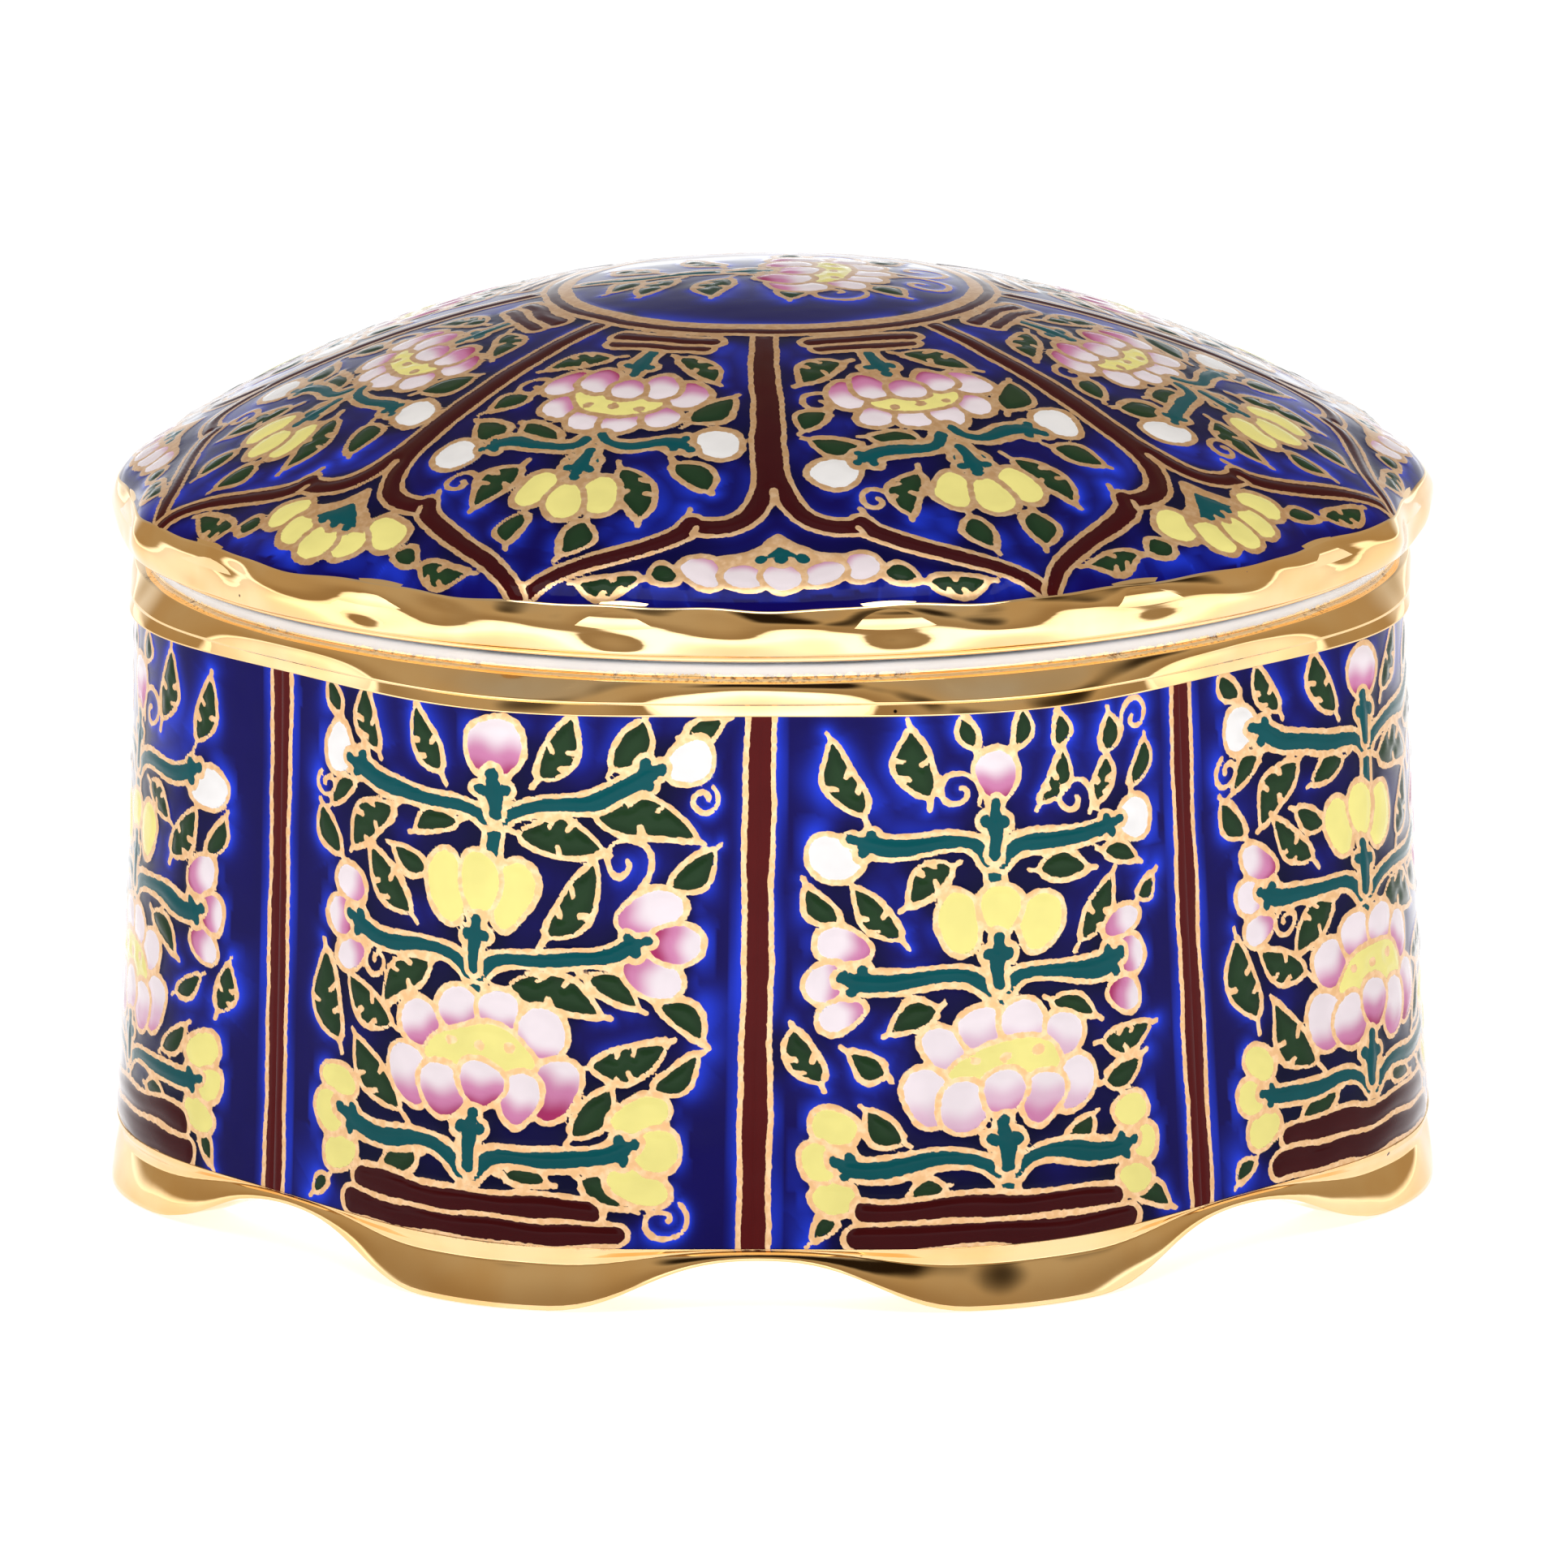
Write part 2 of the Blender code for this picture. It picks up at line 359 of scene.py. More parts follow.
    def curl(self, x0, y0, x, y, turn=1, turns=1.15):
        """A gold tendril from x0, y0 that winds in on x, y."""
        reach, start = hypot(x0 - x, y0 - y), atan2(y0 - y, x0 - x)
        share = np.linspace(0, 1, 26)
        radius = reach * (1 - share) ** 0.8 + 0.35 * share
        angle = start + turn * tau * turns * share
        self.stroke(np.stack([x + radius * np.cos(angle), y + radius * np.sin(angle)], 1))

    def foliage(self, leaves, tendrils=()):
        """Leaves and then tendrils, as the tables of the plants give them."""
        for leaf in leaves:
            self.leaf(*leaf)
        for tendril in tendrils:
            self.curl(*tendril)

    def side_flower(self, x, y, side, size, colours, depth=None):
        """Three petals fanned round the knob of a side branch."""
        for out, up, turn, length, width in SIDE_PETALS:
            angle = copysign(UP, turn) - side * turn
            self.petal(x + side * out * size, y + up, angle, length * size, width * size**0.5, colours, depth)

    def yellow_flower(self, x, y, reach, sides, middle):
        """Three yellow petals over the knob at x, y. sides and middle are a rise and a length."""
        for side in (-1, 1):
            self.petal(x + side * reach, y + sides[0], UP - side * 0.25, sides[1], 4.0, ALL_YELLOW, 0.5)
        self.petal(x + 0.2, y + middle[0], UP, middle[1], 4.0, ALL_YELLOW, 0.5)

    def lotus(self, x, y, size, colours=ROSY, back=4):
        """A lotus about its seed pod: back petals, the pod with its seeds, and front petals."""
        for i in range(back):
            spread = (i + 0.5) / back * 2 - 1
            rise = size * (3.5 - 3.3 * spread**2)
            self.petal(x + 7.9 * size * spread, y + rise, UP - 0.6 * spread, 4.8 * size, 18.2 / back * size,
                       colours, self.random.uniform(0.0, 0.3))
        pod, px, py = self.near(x, y, 7 * size)
        along, across = local(px, py, (x, y), 0)
        arch = across + 0.035 * along**2 / size
        self.cover(pod, to_egg(along, arch, 11.4 * size, 4.6 * size), YELLOW)
        for seed in (-2.9, 0.0, 2.9):
            self.stroke([(x + seed * size, y + 0.3), (x + (seed + 0.2) * size, y + 0.3)], 0.85)
        for spread, low, length in FRONT_PETALS:
            self.petal(x + 7.2 * size * spread, y - low * size, UP - 0.35 * spread, length * size, 4.7 * size,
                       colours, self.random.uniform(0.15, 0.5))

    def bar(self, x0, y0, x1, y1, half):
        """A maroon bar with round ends."""
        points, x, y = self.near((x0 + x1) / 2, (y0 + y1) / 2, (x1 - x0) / 2 + 2)
        distance = to_path(x, y, [(x0 + half, y0), (x1 - half, y1)])[0]
        self.cover(points, distance - half, DARK_MAROON)


# The plants on the wall, in millimetres from the middle stem and up from the ledge over the feet. Leaves go
# from stalk to tip, and a ragged one has 1 or -1 after them. Tendrils go from their start to their eye. Buds
# have their middle, length and width, and bars their two ends.

WIDE_PLANT = {
    "knobs": [(1.7, 39.3), (0.4, 26.5), (-0.1, 9.3)],
    "ends": [(-12.5, 39.9), (14.6, 40.9), (-12.6, 25.7), (14.0, 26.3), (-13.2, 8.1), (13.2, 8.5)],
    "buds": [(-15.2, 40.6, 4.0, 4.5), (18.4, 42.0, 4.6, 3.8)],
    "bud": (2.0, 43.0, 5.2, 5.2),
    "flowers": (0.8, 1.1, 0.85, 1.0),
    "yellow": (3.2, (3.7, 6.0), (4.5, 5.1)),
    "lotus": (0.7, 16.7, 0.95, ROSY),
    "leaves": [
        (-14.7, 42.9, -17.2, 46.2), (-10.0, 40.6, -12.6, 46.2, 1), (-2.6, 39.4, -5.9, 46.0, 1),
        (4.8, 39.6, 9.1, 46.2, -1), (11.5, 40.6, 14.5, 45.9), (17.2, 44.0, 21.5, 45.5),
        (-12.4, 38.4, -16.4, 35.3), (-7.5, 37.3, -13.4, 31.9, -1), (-0.9, 36.3, -6.5, 34.6),
        (-4.2, 30.9, -8.7, 32.8), (2.7, 35.4, 11.5, 33.8, 1), (9.2, 37.8, 19.3, 35.1, 1),
        (-14.8, 30.5, -17.6, 35.1), (-5.9, 27.0, -11.4, 32.7, 1), (6.3, 26.1, 10.6, 33.4, 1),
        (16.8, 31.0, 21.1, 34.7), (-3.1, 24.1, -9.1, 19.3, -1), (2.1, 22.4, 11.3, 20.1, 1),
        (9.3, 23.6, 14.6, 20.5), (15.4, 21.5, 20.3, 17.9), (-14.5, 13.9, -17.1, 22.7, -1),
        (-7.1, 17.3, -14.0, 20.9, 1), (-6.5, 9.0, -12.8, 16.2, 1), (9.2, 15.3, 17.1, 17.7, 1),
        (15.4, 13.3, 20.2, 17.0), (8.8, 9.0, 12.3, 14.2), (-4.4, 6.8, -10.0, 4.1), (2.4, 6.3, 7.5, 5.6),
        (9.7, 6.4, 14.2, 3.5), (-15.5, 3.1, -18.1, 0.8),
    ],
    "tendrils": [(-17.8, 38.6, -17.0, 37.4, 1), (20.7, 39.9, 19.8, 38.7, -1), (15.1, 31.4, 13.3, 33.2, 1),
                 (-11.3, 23.8, -10.3, 22.6, 1), (18.0, 4.0, 16.6, 2.2, -1)],
    "bars": [(-12.8, 3.6, 12.2, 3.4), (-14.0, 1.3, 13.8, 1.0)],
}

NARROW_PLANT = {
    "knobs": [(-0.1, 36.5), (0.1, 25.2), (0.1, 9.2)],
    "ends": [(-11.2, 35.1), (10.8, 35.0), (-12.2, 22.9), (10.6, 23.1), (-12.6, 7.4), (11.2, 7.2)],
    "buds": [(-13.9, 33.9, 5.2, 4.0), (13.7, 35.3, 3.8, 4.2)],
    "bud": (-0.2, 40.6, 5.0, 4.3),
    "flowers": (0.85, 0.75, 0.85, 0.75),
    "yellow": (3.7, (2.8, 5.5), (3.9, 4.3)),
    "lotus": (0.2, 16.1, 0.87, (PINK, MAUVE, BLUSH)),
    "leaves": [
        (-11.3, 37.0, -14.3, 44.1, -1), (-6.0, 37.5, -7.5, 45.2, 1), (-1.9, 42.5, -2.8, 46.0),
        (1.5, 42.3, 2.5, 45.8), (4.1, 37.3, 6.5, 42.2, 1), (5.9, 41.6, 6.2, 45.6),
        (9.7, 36.8, 10.7, 41.4, -1), (10.9, 41.1, 11.0, 45.2), (13.5, 37.7, 14.9, 42.0),
        (3.0, 32.6, 8.5, 31.7), (9.4, 33.0, 13.6, 31.2), (-3.0, 33.0, -8.2, 29.7, -1),
        (-13.7, 27.0, -16.3, 31.7), (-7.9, 25.8, -12.3, 31.6, 1), (6.9, 24.8, 10.6, 30.6, -1),
        (13.2, 27.8, 15.7, 30.0), (-4.4, 21.6, -9.3, 18.4), (4.0, 20.9, 8.6, 18.6),
        (8.6, 16.4, 15.0, 17.1, 1), (9.0, 12.9, 13.8, 14.8), (-15.1, 13.6, -17.6, 19.3, 1),
        (-9.1, 14.6, -13.2, 17.0), (-7.3, 8.8, -11.6, 12.2), (5.0, 7.4, 8.4, 10.1), (-4.4, 5.3, -8.0, 4.6),
        (-13.7, 3.0, -15.7, 0.7), (11.7, 3.7, 16.1, 0.9),
    ],
    "tendrils": [(-1.9, 38.0, -3.9, 39.0, 1, 1.25), (8.9, 36.6, 7.4, 38.0, 1), (12.5, 43.6, 14.0, 44.4, -1)],
    "bars": [(-12.6, 3.4, 11.6, 2.8), (-13.2, 1.1, 13.0, 0.7)],
}

# The same on the lid: a plant grows outward from the ring in each of its eight petal-shaped panels, and is
# given from the lid's middle. Below it, a half flower fills the corner between two panels.

LID_LEAVES = [
    (-2.2, 26.2, -9.0, 29.4, 1), (1.6, 25.3, 7.6, 29.6, -1), (-8.2, 33.9, -12.0, 36.8),
    (7.4, 38.1, 9.8, 32.1), (-7.4, 41.4, -11.9, 38.3), (-1.9, 41.6, -7.1, 39.3), (-4.6, 44.4, -8.0, 51.7, 1),
    (3.6, 43.6, 7.8, 51.6, -1), (8.5, 42.4, 13.0, 46.2), (-2.9, 51.5, -2.7, 56.2), (3.2, 51.5, 2.2, 56.6),
]
LID_TENDRILS = [(-7.2, 33.6, -9.0, 32.8, -1), (-8.6, 49.0, -10.2, 48.2, -1)]

# The leaves of the spray in the medallion, from its flower's foot.
SPRAY_LEAVES = [
    (-9.5, 1.0, -13.0, 4.6), (-6.0, 1.4, -10.4, 7.6, 1), (-1.6, 2.0, -4.2, 9.6, 1), (3.0, 6.0, 2.6, 11.4),
    (9.6, 5.6, 13.6, 8.6), (-8.0, -1.6, -12.2, -6.4, -1), (-2.4, -2.0, -5.6, -8.6, -1),
    (3.4, -6.4, 3.4, -12.0), (9.2, -5.4, 13.6, -9.0),
]


def paint_plant(art, plant):
    """A whole flowering plant on the wall."""
    art.foliage(plant["leaves"], plant["tendrils"])
    for (x, y, length, width), side in zip(plant["buds"], (-1, 1)):
        art.petal(x, y, UP - side * 1.25, length, width, ALL_WHITE)
    ends = plant["ends"]
    looks = ((ROSY, None), (ROSY, None), (ALL_YELLOW, 0.5), (ALL_YELLOW, 0.5))
    for (x, y), size, look in zip(ends[2:], plant["flowers"], looks):
        art.side_flower(x, y, np.sign(x), size, *look)
    top, middle, foot = plant["knobs"]
    for (x, y), low in ((top, middle[1] + 5), (middle, foot[1] + 10), (foot, 3.5)):
        art.stem([(x, low), (x, y)], UP)
    x, y, length, width = plant["bud"]
    art.petal(x, y, UP, length, width, depth=0.35)
    art.yellow_flower(*middle, *plant["yellow"])
    art.lotus(*plant["lotus"])
    for i, end in enumerate(ends):
        knob = plant["knobs"][i // 2]
        art.branch(knob[0] + 0.6 * np.sign(end[0]), knob[1] - 3.2, *end)
    for x, y in plant["knobs"]:
        art.stem([(x, y - 2.6), (x, y)], UP)
    for bar in plant["bars"]:
        art.bar(*bar, 1.25)


def paint_wall(x, y, width, plant, stem, mirror, seed):
    """A panel of the wall, between the middles of two upright maroon bars."""
    art = Painting(x, y, WALL_LINE, 1.0, seed)
    paint_plant(art.seen_from(stem, 0, mirror=mirror), plant)
    ruled = art.steady().x
    edge = np.minimum(abs(ruled), abs(ruled - width))
    bars = np.flatnonzero(edge < BAR)
    art.cover(bars, edge[bars] - BAR / 2, MAROON)
    return art


def to_band(x, y):
    """Distance to a maroon band that runs out from the ring and parts to go round a corner flower."""
    distance = np.full(x.shape, np.inf)
    parts = (([(0, RING - 2), (0, 46.5)], 1.0, 0.5),
             (bezier((0.4, 45.0), (1.0, 50.2), (2.8, 53.2), (7.0, 52.3)), 1.08, 0),
             (bezier((7.6, 51.8), (9.0, 55.2), (17.5, 54.6), (20.5, 55.2), (23.5, 57.4)), 1.12, -0.3))
    for path, half, growth in parts:
        reach, share = to_path(abs(x), y, path)
        distance = np.minimum(distance, reach - half - growth * share)
    return distance


def paint_lid(x, y, seed):
    """The lid: eight petal-shaped panels round a medallion, with half flowers between them at the rim.
    The further out the pattern lies, the further it is turned."""
    reach = np.hypot(x, y)
    drawn = np.arctan2(x, y) - radians(LID_TWIST) * np.maximum(reach - MEDALLION, 0)
    art = Painting(reach * np.sin(drawn), reach * np.cos(drawn), LID_LINE, 1.3, seed)
    turn, step = radians(LID_TURN), tau / LOBES
    for i in range(LOBES):
        # A panel's own y axis runs outward, along its middle, and x to the right of it as seen from outside.
        paint_lid_panel(art.seen_from(0, 0, turn - (i + 0.5) * step))
        paint_half_flower(art.seen_from(0, 0, turn - i * step), i % 2)
    for i in range(LOBES):
        paint_divider(art.steady().seen_from(0, 0, turn - i * step))
    paint_medallion(art)
    return art


def paint_lid_panel(art):
    """The plant of one panel, and the two bars at its foot."""
    art.foliage(LID_LEAVES, LID_TENDRILS)
    for x, y, angle in ((-12.0, 43.6, 185), (11.6, 39.2, -5)):
        art.petal(x, y, radians(angle), 4.8, 4.6, ALL_WHITE)
    art.stem([(0.2, 38.6), (0.3, 44.0)], UP)
    art.lotus(0, 35.0, 0.82)
    art.yellow_flower(0.3, 45.2, 3.1, (3.4, 5.8), (4.7, 5.2))
    art.branch(-0.4, 40.6, -8.3, 42.6)
    art.branch(0.9, 39.8, 8.2, 40.4)
    art.stem([(0.3, 42.6), (0.3, 45.2)], UP)
    art.stem([(-0.3, 25.1), (-0.5, 28.0)], UP)
    for bar in ((-5.0, 23.6, 5.0, 23.5), (-5.4, 21.9, 5.4, 21.9)):
        art.bar(*bar, 1.0)


def paint_half_flower(art, yellow):
    """Five petals that hang from a teal cap in a gold hood, with leaves at each side."""
    colours, depth = (ALL_YELLOW, 0.5) if yellow else (ROSY, 0.05)
    reach, drop, tall = (6.2, 2.3, 1.3) if yellow else (6.8, 0.8, 0.9)
    for side in (-1, 1):
        art.leaf(side * 8.2, 58.2, side * 12.0, 58.6)
        art.leaf(side * 11.6, 58.6, side * 18.4, 57.2, side)
    base = 57.2
    hood = [(-reach - 1.5, base), *((x, base - down * tall) for x, down in HOOD)]
    art.stroke(hood + [(-x, y) for x, y in reversed(hood[:-1])], 1.0)
    for spread in (-1, 1, -0.5, 0.5, 0):
        art.petal(reach * spread, 58.6 - drop * spread**2, UP - 0.7 * tall * spread, 4.0 * tall, 4.0, colours,
                  depth)
    points, x, y = art.near(0, 55.6, 6)
    x, y = abs(x), y - base
    cap = np.maximum(x * 0.7 - (y + 3.2 * tall) * 0.71, y + 0.7)
    for lobe in (0, 1.7):
        cap = np.minimum(cap, np.hypot(x - lobe, y + 0.7 + 0.1 * lobe) - 0.85)
    art.cover(points, cap, TEAL)


def paint_divider(art):
    """A maroon band along a divider, which parts in two to go round the corner flower."""
    points, x, y = art.near(0, 42, 26)
    art.cover(points, to_band(x, y), DARK_MAROON, WALL_LINE)
    art.stroke([(0, 47.6), (0, 49.0)], 0.8)
    for side in (-1, 1):
        art.stroke([(side * 8.0, 50.7), (side * 7.6, 49.8)], 0.6)
        art.stroke([(side * 7.6, 53.2), (side * 7.2, 52.4)], 0.6)


def paint_medallion(art):
    """The round picture at the top of the lid, in its ring."""
    points, x, y = art.near(0, 0, RING + 1)
    inside = points[np.hypot(x, y) < MEDALLION + 1.2]
    art.gold[inside], art.ground[inside] = FAR, True
    spray = art.seen_from(-1.5, -0.5, radians(-3))
    flower = spray.seen_from(0, 0, radians(-90))
    spray.foliage(SPRAY_LEAVES)
    for side in (-1, 1):
        spray.curl(8.4, side * 6.4, 7.0, side * 9.2, side)
        spray.curl(12.0, side * 1.8, 15.0, side * 3.2, side)
    spray.stem(bezier((-15.0, -1.0), (-10.0, 1.4), (-6.0, -0.8), (-0.6, 0.0)), 0.0)
    flower.lotus(0, 7.0, 0.92, back=5)
    spray.stem([(-2.0, 0.0), (0.0, 0.0)], 0.0)
    wheel = art.steady()
    reach = np.hypot(wheel.x[points], wheel.y[points])
    art.cover(points, abs(reach - RING_BAND) - RING_BAND_HALF, DARK_MAROON)
    art.gild(points, abs(reach - RING_LINE) - RING_LINE_HALF)


def blurred(field, reach):
    """A grid's values, each averaged with its neighbours up to reach cells away."""
    for _ in range(2):
        cells = np.arange(len(field))
        low, high = np.maximum(cells - reach, 0), np.minimum(cells + reach + 1, len(field))
        total = np.insert(np.cumsum(field, 0), 0, 0, 0)
        field = ((total[high] - total[low]) / (high - low)[:, None]).T
    return field


def fire_ground(art, shape):
    """Colours the bare ground: painted shade darkens it to near black in narrow gaps, cobalt in the open, and
    bright beside lines.
    """
    bare = (art.ground & (art.gold > 0)).reshape(shape).astype(float)
    reach = round(2.2 / CELL)
    openness = blurred(blurred(bare, reach), reach // 2).ravel()
    # Where little open ground lies round a point, its cobalt goes towards near black: painted shade in narrow
    # gaps.
    base = blend(GAP_SHADE, COBALT, smooth(0.15, 0.55, openness))
    cloud = 0.5 + 0.5 * np.sin(art.x / 4.1 + 1.3 * np.sin(art.y / 6.3)) * np.sin(art.y / 5.2 + 0.9)
    glow = np.exp(-np.maximum(art.gold, 0) / (0.32 + 0.85 * cloud**2)) * smooth(0.35, 0.75, openness)
    ground = blend(base, BRIGHT, glow)
    art.colour = np.where(art.ground[:, None], ground, art.colour)


def relief(art):
    """How far gold and enamel stand over the ground, in millimetres."""
    enamel = np.where(art.ground, 0.0, ENAMEL_LIFT * smooth(-0.1, 0.75, art.gold))
    return enamel + GOLD_LIFT * smooth(0.18, -0.15, art.gold)


# Meshes.


def grid_faces(rows, columns, closed=False):
    """Quads over a grid of points, row by row. In a closed one the last column meets the first."""
    row, column = np.meshgrid(np.arange(rows - 1), np.arange(columns - 1 + closed), indexing="ij")
    here, after = row * columns + column, row * columns + (column + 1) % columns
    return np.stack([here, here + columns, after + columns, after], -1).reshape(-1, 4)


def new_object(name, data):
    """An object of the scene that holds data."""
    thing = bpy.data.objects.new(name, data)
    bpy.context.scene.collection.objects.link(thing)
    return thing


def put(data, key, values, kind=np.float32):
    """Stores an array of values in a mesh's data."""
    data.foreach_set(key, values.astype(kind).ravel())


def mesh_object(name, points, faces, fields, material, places=None):
    """A smooth mesh that rides on the part, with named values and colours on its points."""
    mesh = bpy.data.meshes.new(name)
    mesh.vertices.add(len(points))
    put(mesh.vertices, "co", points)
    mesh.loops.add(faces.size)
    put(mesh.loops, "vertex_index", faces, np.int32)
    mesh.polygons.add(len(faces))
    put(mesh.polygons, "loop_start", np.arange(0, faces.size, 4), np.int32)
    mesh.update(calc_edges=True)
    mesh.shade_smooth()
    for field, values in fields.items():
        if values.ndim == 2:
            values = np.concatenate([values, np.ones((len(values), 1))], 1)
            put(mesh.attributes.new(field, "FLOAT_COLOR", "POINT").data, "color", values)
        else:
            put(mesh.attributes.new(field, "FLOAT", "POINT").data, "value", values)
    if places is not None:
        put(mesh.uv_layers.new(name="OFBake").data, "uv", places[faces.ravel()])
    mesh.materials.append(material)
    piece = new_object(name, mesh)
    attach(piece, "root")
    return piece


def normals_of(points, shape):
    """Unit normals of a grid of points, from the slopes of its rows and columns."""
    grid = points.reshape(*shape, 3)
    across = np.cross(np.gradient(grid, axis=0), np.gradient(grid, axis=1))
    across /= np.linalg.norm(across, axis=-1, keepdims=True)
    return across.reshape(-1, 3)


def wall_radius(azimuth, height):
    """The wall's outer radius, with its flare and its lobes."""
    share = np.clip((height - FOOT_HEIGHT) / (band_bottom - FOOT_HEIGHT), 0, 1)
    return WALL_RADIUS + FLARE * (1 - share) ** 1.2 + LOBE_DEPTH * (lobe_share(azimuth) - 0.5)


def wall_panel(number, left, right, plant, lean, mirror, material):
    """One painted panel, from the middle of one bar to the next. left and right are the bars' azimuths
    at foot and top, in degrees."""
    width = radians(np.mean(right) - np.mean(left)) * WALL_UNIT
    height = band_bottom - FOOT_HEIGHT
    columns, rows = round(width / CELL) + 1, round(height / CELL) + 2
    grid = np.meshgrid(np.linspace(0, width, columns), np.linspace(-LOW_HEM, height + HEM, rows))
    x, y = (places.ravel() for places in grid)
    art = paint_wall(x, y, width, plant, width / 2 + lean, mirror, seed=number)
    fire_ground(art, (rows, columns))
    left, right = (np.interp(y, [0, height], edge) for edge in (left, right))
    azimuth = np.radians(left + (right - left) * x / width)
    edge = smooth(0, 0.5, np.minimum(x, width - x))
    points = placed(wall_radius(azimuth, y + FOOT_HEIGHT) + relief(art) * edge, y + FOOT_HEIGHT, azimuth)
    places = np.stack([x / width, (y + LOW_HEM) / (height + LOW_HEM + HEM)], 1)
    fields = {"paint": art.colour, "gold": art.gold}
    faces = grid_faces(rows, columns)[:, ::-1]
    return mesh_object(f"wall_panel_{number}", points, faces, fields, material, places)


def rounded(corners):
    """A profile through (radius, height) corners. A third number in one is its fillet's radius."""
    profile = [corners[0]]
    for before, corner, after in zip(corners, corners[1:], corners[2:]):
        if len(corner) == 2:
            profile.append(corner)
            continue
        here, fillet = np.array(corner[:2]), corner[2]
        into, out = np.array(before[:2]) - here, np.array(after[:2]) - here
        reach_in, reach_out = np.hypot(*into), np.hypot(*out)
        into, out = into / reach_in, out / reach_out
        half = acos(max(-1.0, min(1.0, float(into @ out)))) / 2
        setback = min(fillet / tan(half), 0.49 * reach_in, 0.49 * reach_out)
        for step in range(FILLET_STEPS + 1):
            start, end = (1 - step / FILLET_STEPS) ** 2, (step / FILLET_STEPS) ** 2
            profile.append(tuple(here + setback * (start * into + end * out)))
    return profile + [corners[-1]]


def roll(widest, height, size, start, end, steps=10):
    """A profile round a roll, widest at that height, from one tilt of its face to another in degrees."""
    tilts = np.radians(np.linspace(start, end, steps + 1))
    return [(widest + size * (cos(tilt) - 1), height + size * sin(tilt)) for tilt in tilts]


def spaced(profile, gap):
    """The profile's points, with more between any two that lie further apart than gap."""
    profile = np.array(profile, float)
    points = [profile[:1]]
    for a, b in zip(profile, profile[1:]):
        count = max(1, ceil(hypot(*(b - a)) / gap))
        points.append(a + (b - a) * np.arange(1, count + 1)[:, None] / count)
    return np.concatenate(points)


def box_rule(radius, height, azimuth):
    """Draws the turned box into lobes, and its foot into eight feet with arches between them."""
    share = lobe_share(azimuth)
    inside = (radius < neck_radius - 0.01) & (height > recess_height + 0.01)
    low = np.where(inside, BOX_HEIGHT - 2 * MOUTH_DEPTH, band_bottom)
    high = np.where(inside, band_bottom, band_top)
    wide = radius > (foot_radius - FOOT_WIDTH) / 2
    outside = radius > mouth_radius
    foot = np.maximum(0.0, 1 - height / FOOT_HEIGHT)
    radius = radius + np.where(wide, LOBE_DEPTH * (1 - smooth(low, high, height)) * (share - 0.5), 0)
    radius = radius - np.where(outside, 2 * FOOT_PROUD * (1 - share) * foot, 0)
    lift = ARCH_HEIGHT * (1 - smooth(-0.12, 1.12 - FOOT_FLAT_SHARE, share))
    return radius, height + lift * foot


def dome_point(sphere, radius):
    """The radius and height of a point on a sphere about the dome's centre."""
    return radius, dome_centre + sqrt(sphere**2 - radius**2)


def box_profile():
    """The box from its floor's middle, up its inside, over the neck and down to its underside."""
    inside_top = WALL_RADIUS - WALL
    inside_bottom = inside_top + FLARE * (1 - floor_top / band_bottom)
    moulding = band_bottom + BAND_HEIGHT * 0.38
    band_radius, ledge = WALL_RADIUS + BAND_PROUD, WALL_RADIUS + FLARE
    behind_top, behind_ledge = WALL_RADIUS - UNDERLAY, ledge - UNDERLAY
    foot_inside = foot_radius - FOOT_WIDTH
    return rounded([
        (0.05, floor_top), (inside_bottom, floor_top, 6.0), (inside_top, BOX_HEIGHT - MOUTH_DEPTH),
        (mouth_radius, band_bottom), (mouth_radius, BOX_HEIGHT, 0.4), (neck_radius, BOX_HEIGHT, 0.4),
        (neck_radius, band_top + 0.2, 0.1), *roll(band_radius, moulding - 1.05, BAND_ROLL, 34, 11),
        (WALL_RADIUS + 0.2, moulding, 0.2), (band_radius, band_bottom + 0.15, 0.15),
        (behind_top, band_bottom, 0.1), (behind_top, band_bottom - 1), (behind_ledge, FOOT_HEIGHT + 0.4),
        (behind_ledge, FOOT_HEIGHT + 0.1), (ledge + 0.14, FOOT_HEIGHT - 0.06, 0.08),
        (ledge + 0.12, FOOT_HEIGHT - 0.5, 0.2), (ledge - 0.1, FOOT_HEIGHT - 1.0, 0.3),
        *roll(foot_radius + 0.7, -3.0, FOOT_BULGE, 28, 12),
        (foot_radius - FOOT_ROLL * 0.2, 0.02, FOOT_ROLL * 0.1), (foot_inside, 0.02, 0.4),
        (foot_inside, recess_height, 1.0), (0.05, recess_height),
    ])


def lid_profile():
    """The lid from under its painted rim, down its lip and up its flange to the hollow's top."""
    dome = [dome_point(dome_sphere - UNDERLAY, radius)
            for radius in (0.05, DOME_RADIUS * 0.3, DOME_RADIUS * 0.6, DOME_RADIUS * 0.85)]
    hollow = [dome_point(hollow_sphere, flange_inside * share) for share in (0.97, 0.75, 0.5, 0.25, 0.001)]
    behind_lip, flange_bottom = lip_radius - UNDERLAY, lip_bottom - FLANGE_DEPTH
    return rounded([
        *dome, (DOME_RADIUS - 1.0, rim_top - 0.4), (rim_radius - UNDERLAY - 0.4, lip_top + 1.1),
        (behind_lip, lip_top + 0.1), (behind_lip, lip_bottom + LIP_HEIGHT * 0.5),
        (lip_radius - 0.25, lip_bottom + LIP_HEIGHT * 0.4, 0.15),
        (lip_radius - 0.05, lip_bottom + 0.35, 0.35), (neck_radius, lip_bottom, 0.3),
        (flange_radius, lip_bottom, 0.3), (flange_radius, flange_bottom, 0.5),
        (flange_inside, flange_bottom, 0.5), (flange_inside, lip_top, 1.5), *hollow,
    ])


